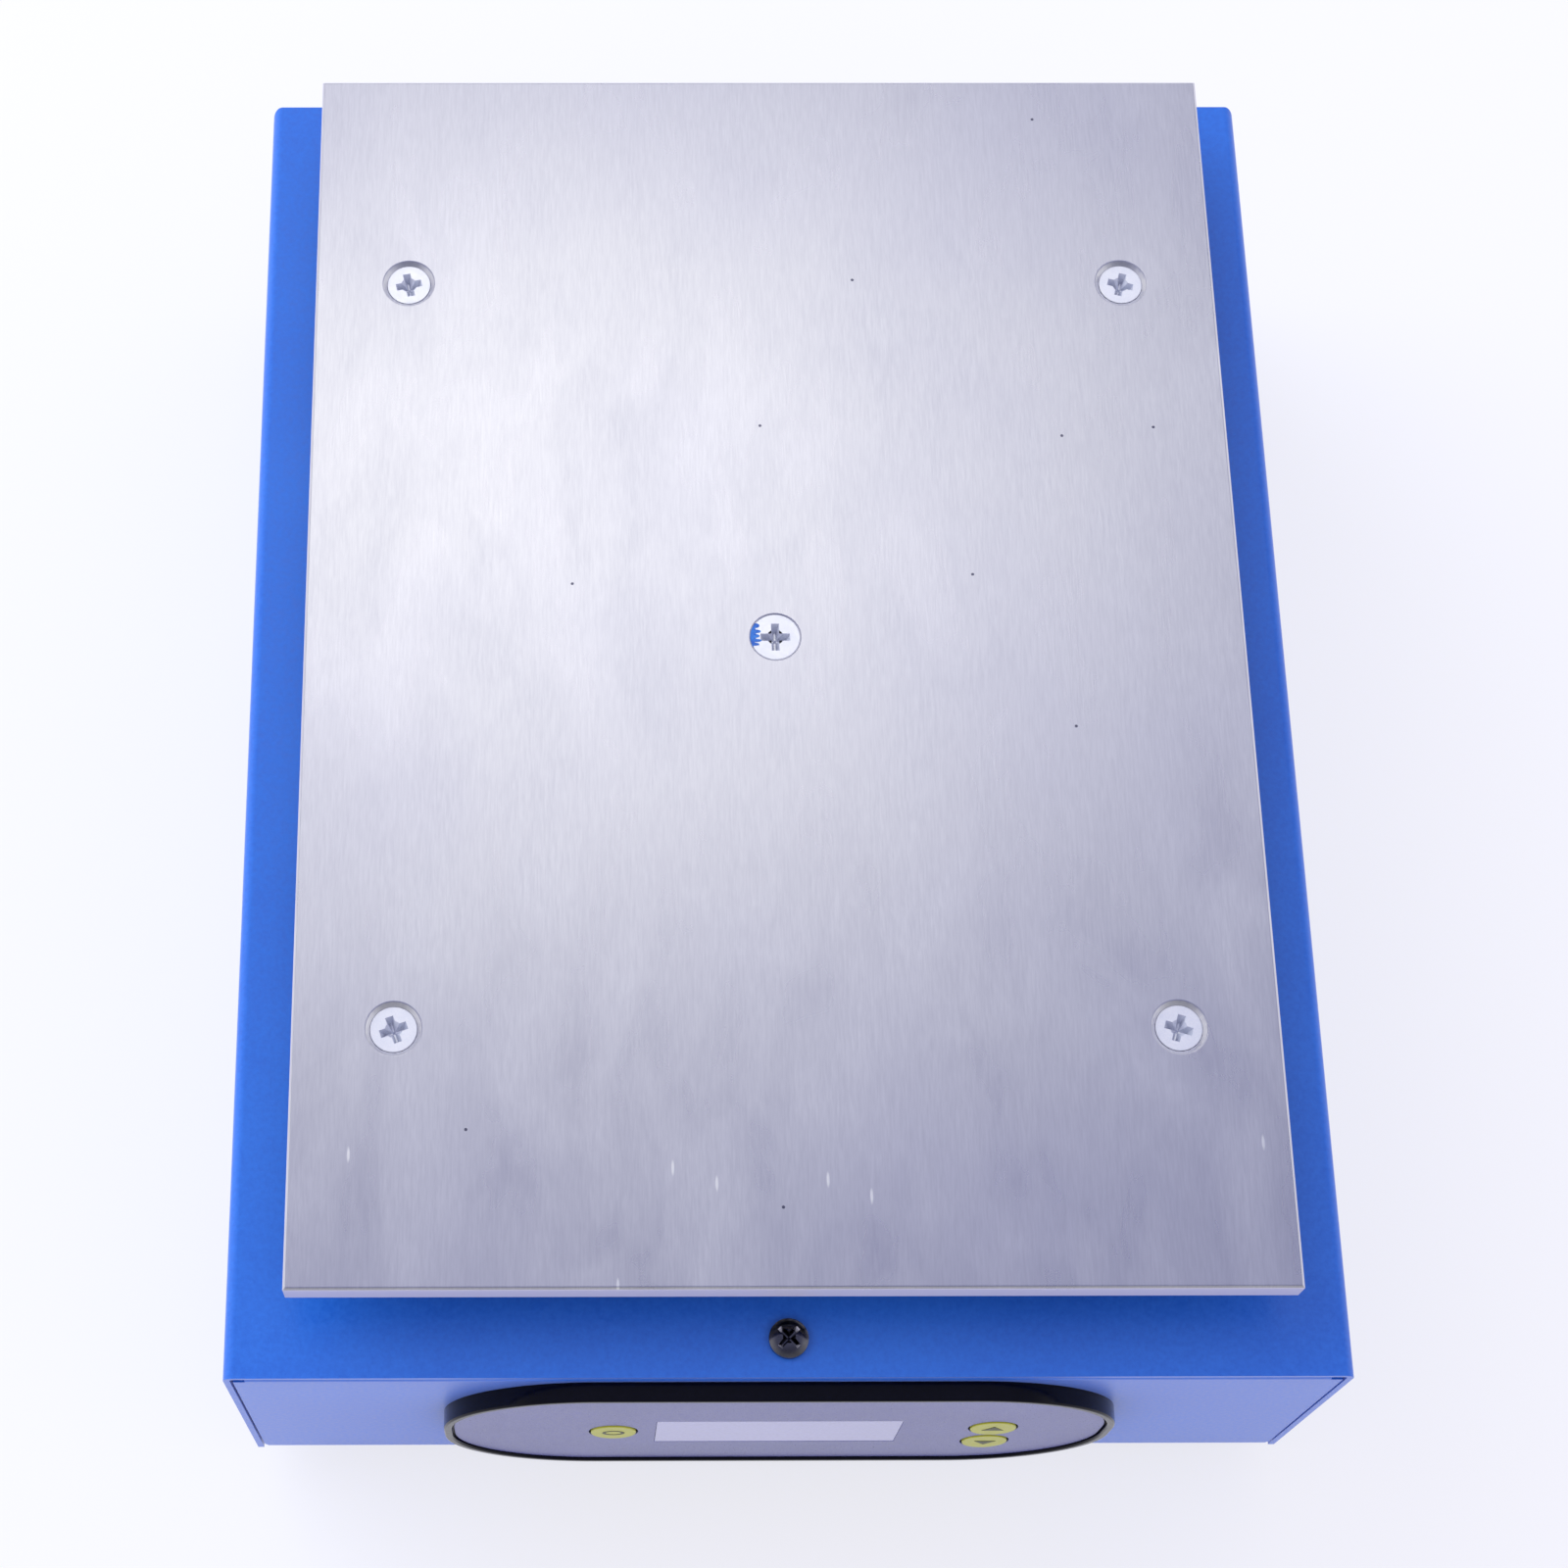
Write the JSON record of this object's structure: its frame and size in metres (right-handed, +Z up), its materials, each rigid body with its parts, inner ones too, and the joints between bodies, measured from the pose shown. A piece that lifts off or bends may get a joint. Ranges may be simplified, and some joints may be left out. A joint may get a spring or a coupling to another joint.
{
  "type": "pcb preheater",
  "caption": "Bench preheater for circuit boards: a flat aluminium heating plate on spacers above a folded blue sheet-metal casing with a front temperature controller.",
  "frame": {"origin": "centre of the footprint, on the surface that the feet stand on", "axes": "+X right as seen from the front, +Y to the back, +Z up"},
  "size_m": [0.1744, 0.2328, 0.0805],
  "materials": {
    "powder_blue": "matte powder coat with a fine grain",
    "plate_aluminium": "brushed along its length",
    "zinc_steel": "bright zinc plate",
    "black_steel": "black oxide",
    "foot_rubber": "matte",
    "mica": "pressed mica sheet",
    "clamp_steel": "plain rolled sheet",
    "terminal_brass": "turned",
    "lead_sleeve": "woven glass sleeve",
    "bezel_black": "moulded, glossy",
    "overlay_grey": "satin polycarbonate sheet",
    "window_clear": "polished",
    "key_green": "moulded",
    "module_white": "moulded",
    "board_green": "solder mask",
    "chip_black": "moulded",
    "inlet_black": "moulded",
    "rocker_black": "moulded, glossy",
    "contact_metal": "nickel plate",
    "fuse_glass": "clear tube with end caps",
    "spacer_nylon": "moulded",
    "core_iron": "varnished laminations",
    "sink_aluminium": "extruded",
    "block_green": "moulded",
    "sleeve_blue": "shrink sleeve",
    "wire_grey": "extruded",
    "wire_red": "extruded",
    "wire_earth": "extruded"
  },
  "bodies": {
    "casing": {"chassis": "powder_blue", "cover": "powder_blue", "heating_plate": "plate_aluminium", "plate_screws": "zinc_steel", "centre_screw": "zinc_steel", "plate_spacers": "zinc_steel", "plate_washers": "zinc_steel", "plate_nuts": "zinc_steel", "centre_nut": "zinc_steel", "clinch_nuts": "zinc_steel", "foot_screws": "zinc_steel", "foot_nuts": "zinc_steel", "board_screws": "zinc_steel", "inlet_screws": "zinc_steel", "inlet_nuts": "zinc_steel", "power_board_screws": "zinc_steel", "earth_nut": "zinc_steel", "cover_screws": "black_steel", "feet": "foot_rubber", "cable_grommet": "foot_rubber", "heater": "mica", "clamp_sheet": "clamp_steel", "sensor": "clamp_steel", "heater_terminals": "terminal_brass", "earth_stud": "terminal_brass", "heater_leads": "lead_sleeve", "sensor_lead": "lead_sleeve", "bezel": "bezel_black", "overlay": "overlay_grey", "display_window": "window_clear", "display_module": "module_white", "control_board": "board_green", "power_board": "board_green", "control_chips": "chip_black", "key_switches": "chip_black", "triac": "chip_black", "inlet": "inlet_black", "switch_frame": "inlet_black", "inlet_pins": "contact_metal", "switch_tabs": "contact_metal", "board_spacers": "spacer_nylon", "transformer": "core_iron", "heatsink": "sink_aluminium", "terminal_block": "block_green", "capacitor": "sleeve_blue", "ribbon_cable": "wire_grey", "mains_wires": "wire_red", "earth_wire": "wire_earth"},
    "set_button": {"set_key": "key_green", "set_plunger": "chip_black"},
    "up_button": {"up_key": "key_green", "up_plunger": "chip_black"},
    "down_button": {"down_key": "key_green", "down_plunger": "chip_black"},
    "rocker": {"rocker": "rocker_black"},
    "fuse_carrier": {"fuse_drawer": "inlet_black", "fuse": "fuse_glass"}
  },
  "joints": [
    {"name": "set_press", "type": "slide", "parent": "casing", "child": "set_button", "axis": [0, 1, 0], "range_m": [0, 0.0005], "stiffness_N_per_m": 500},
    {"name": "up_press", "type": "slide", "parent": "casing", "child": "up_button", "axis": [0, 1, 0], "range_m": [0, 0.0005], "stiffness_N_per_m": 500},
    {"name": "down_press", "type": "slide", "parent": "casing", "child": "down_button", "axis": [0, 1, 0], "range_m": [0, 0.0005], "stiffness_N_per_m": 500},
    {"name": "rocker_tip", "type": "hinge", "parent": "casing", "child": "rocker", "pos_m": [0.038, 0.11057, 0.036], "axis": [1, 0, 0], "range_deg": [-18, 0]},
    {"name": "fuse_slide", "type": "slide", "parent": "casing", "child": "fuse_carrier", "axis": [0, 1, 0], "range_m": [0, 0.016]}
  ]
}
